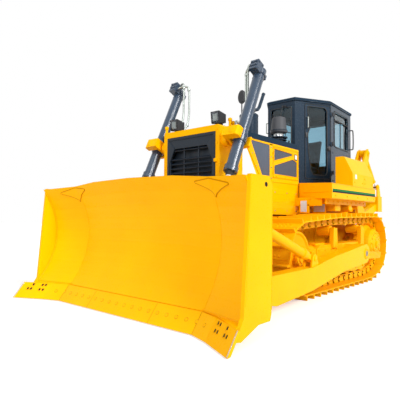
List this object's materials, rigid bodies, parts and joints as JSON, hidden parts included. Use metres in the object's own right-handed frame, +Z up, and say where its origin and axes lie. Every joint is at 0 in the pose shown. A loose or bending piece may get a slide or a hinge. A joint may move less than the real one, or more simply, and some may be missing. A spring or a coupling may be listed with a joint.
{
  "type": "crawler bulldozer",
  "caption": "Crawler bulldozer with a semi-U blade on outside push arms, twin upright lift cylinders, a six-sided cab and a rear ripper.",
  "frame": {"origin": "middle of the machine's length and width, on the ground", "axes": "+Z up, blade towards -Y, the machine's left side towards +X"},
  "size_m": [4.13, 8.28, 3.66],
  "materials": {
    "yellow_paint": "semi-gloss machine enamel",
    "track_paint": "satin enamel",
    "dark_paint": "semi-gloss blue-grey enamel",
    "grille_paint": "satin",
    "bright_rod": "polished",
    "black_plastic": "fine grain",
    "seat_vinyl": "soft vinyl",
    "engine_paint": "satin"
  },
  "bodies": {
    "chassis": {"air_precleaner": "dark_paint", "cab_roof": "dark_paint", "cab_shell": "dark_paint", "control_console": "black_plastic", "engine": "engine_paint", "exhaust_stack": "dark_paint", "fender_left": "yellow_paint", "fender_right": "yellow_paint", "hood": "yellow_paint", "idler_left": "yellow_paint", "idler_right": "yellow_paint", "main_frame": "yellow_paint", "operator_seat": "seat_vinyl", "radiator_core": "grille_paint", "radiator_grille": "grille_paint", "radiator_guard": "yellow_paint", "rear_mirror": "black_plastic", "side_tank_left": "yellow_paint", "side_tank_right": "yellow_paint", "sprocket_left": "yellow_paint", "sprocket_right": "yellow_paint", "track_frame_left": "yellow_paint", "track_frame_right": "yellow_paint", "track_left": "track_paint", "track_right": "track_paint", "work_lamp_left": "black_plastic", "work_lamp_right": "black_plastic"},
    "cab_door_left": {"cab_door_left": "dark_paint"},
    "cab_door_right": {"cab_door_right": "dark_paint"},
    "engine_door_left": {"engine_door_left": "yellow_paint"},
    "engine_door_right": {"engine_door_right": "yellow_paint"},
    "blade_frame": {"blade": "yellow_paint", "cutting_edge": "yellow_paint", "end_bit_left": "yellow_paint", "end_bit_right": "yellow_paint", "push_arm_left": "yellow_paint", "push_arm_right": "yellow_paint", "blade_brace_left": "yellow_paint", "tilt_cylinder_right": "yellow_paint"},
    "lift_barrel_left": {"lift_barrel_left": "dark_paint", "lift_yoke_left": "yellow_paint"},
    "lift_barrel_right": {"lift_barrel_right": "dark_paint", "lift_yoke_right": "yellow_paint"},
    "lift_rod_left": {"lift_rod_left": "bright_rod"},
    "lift_rod_right": {"lift_rod_right": "bright_rod"},
    "ripper": {"ripper_frame": "yellow_paint", "ripper_shank": "yellow_paint"},
    "ripper_barrel_left": {"ripper_barrel_left": "yellow_paint"},
    "ripper_barrel_right": {"ripper_barrel_right": "yellow_paint"},
    "ripper_rod_left": {"ripper_rod_left": "bright_rod"},
    "ripper_rod_right": {"ripper_rod_right": "bright_rod"}
  },
  "joints": [
    {"name": "blade_lift", "type": "hinge", "parent": "chassis", "child": "blade_frame", "pos_m": [0, 0.53, 0.626], "axis": [-1, 0, 0], "range_deg": [-7, 17]},
    {"name": "lift_barrel_left_swing", "type": "hinge", "parent": "chassis", "child": "lift_barrel_left", "pos_m": [0.85, -2.274, 2.387], "axis": [-1, 0, 0], "range_deg": [-7, 16]},
    {"name": "lift_barrel_right_swing", "type": "hinge", "parent": "chassis", "child": "lift_barrel_right", "pos_m": [-0.85, -2.274, 2.387], "axis": [-1, 0, 0], "range_deg": [-7, 16]},
    {"name": "lift_rod_left_slide", "type": "slide", "parent": "lift_barrel_left", "child": "lift_rod_left", "axis": [0, -0.4217, -0.9067], "range_m": [-1, 0.42]},
    {"name": "lift_rod_right_slide", "type": "slide", "parent": "lift_barrel_right", "child": "lift_rod_right", "axis": [0, -0.4217, -0.9067], "range_m": [-1, 0.42]},
    {"name": "cab_door_left_hinge", "type": "hinge", "parent": "chassis", "child": "cab_door_left", "pos_m": [0.73606, 1.03342, 2.8], "axis": [0, 0, 1], "range_deg": [0, 55]},
    {"name": "cab_door_right_hinge", "type": "hinge", "parent": "chassis", "child": "cab_door_right", "pos_m": [-0.73606, 1.03342, 2.8], "axis": [0, 0, -1], "range_deg": [0, 55]},
    {"name": "engine_door_left_hinge", "type": "hinge", "parent": "chassis", "child": "engine_door_left", "pos_m": [0.588, -0.952, 2.2], "axis": [0, 0, -1], "range_deg": [0, 100]},
    {"name": "engine_door_right_hinge", "type": "hinge", "parent": "chassis", "child": "engine_door_right", "pos_m": [-0.588, -0.952, 2.2], "axis": [0, 0, 1], "range_deg": [0, 100]},
    {"name": "ripper_lower", "type": "hinge", "parent": "chassis", "child": "ripper", "pos_m": [0, 2.66, 1.26], "axis": [-1, 0, 0], "range_deg": [0, 30]},
    {"name": "ripper_barrel_left_swing", "type": "hinge", "parent": "chassis", "child": "ripper_barrel_left", "pos_m": [0.66, 2.99, 2.8], "axis": [-1, 0, 0], "range_deg": [0, 10]},
    {"name": "ripper_barrel_right_swing", "type": "hinge", "parent": "chassis", "child": "ripper_barrel_right", "pos_m": [-0.66, 2.99, 2.8], "axis": [-1, 0, 0], "range_deg": [0, 10]},
    {"name": "ripper_rod_left_slide", "type": "slide", "parent": "ripper_barrel_left", "child": "ripper_rod_left", "axis": [0, 0.6978, -0.7163], "range_m": [0, 0.67]},
    {"name": "ripper_rod_right_slide", "type": "slide", "parent": "ripper_barrel_right", "child": "ripper_rod_right", "axis": [0, 0.6978, -0.7163], "range_m": [0, 0.67]}
  ],
  "couplings": [
    {"joint": "lift_barrel_left_swing", "follows": "blade_lift", "ratio": 0.85},
    {"joint": "lift_barrel_right_swing", "follows": "blade_lift", "ratio": 0.85},
    {"joint": "lift_rod_left_slide", "follows": "blade_lift", "m_per_rad": -3.26},
    {"joint": "lift_rod_right_slide", "follows": "blade_lift", "m_per_rad": -3.26},
    {"joint": "ripper_barrel_left_swing", "follows": "ripper_lower", "ratio": 0.3},
    {"joint": "ripper_barrel_right_swing", "follows": "ripper_lower", "ratio": 0.3},
    {"joint": "ripper_rod_left_slide", "follows": "ripper_lower", "m_per_rad": 1.25},
    {"joint": "ripper_rod_right_slide", "follows": "ripper_lower", "m_per_rad": 1.25}
  ]
}
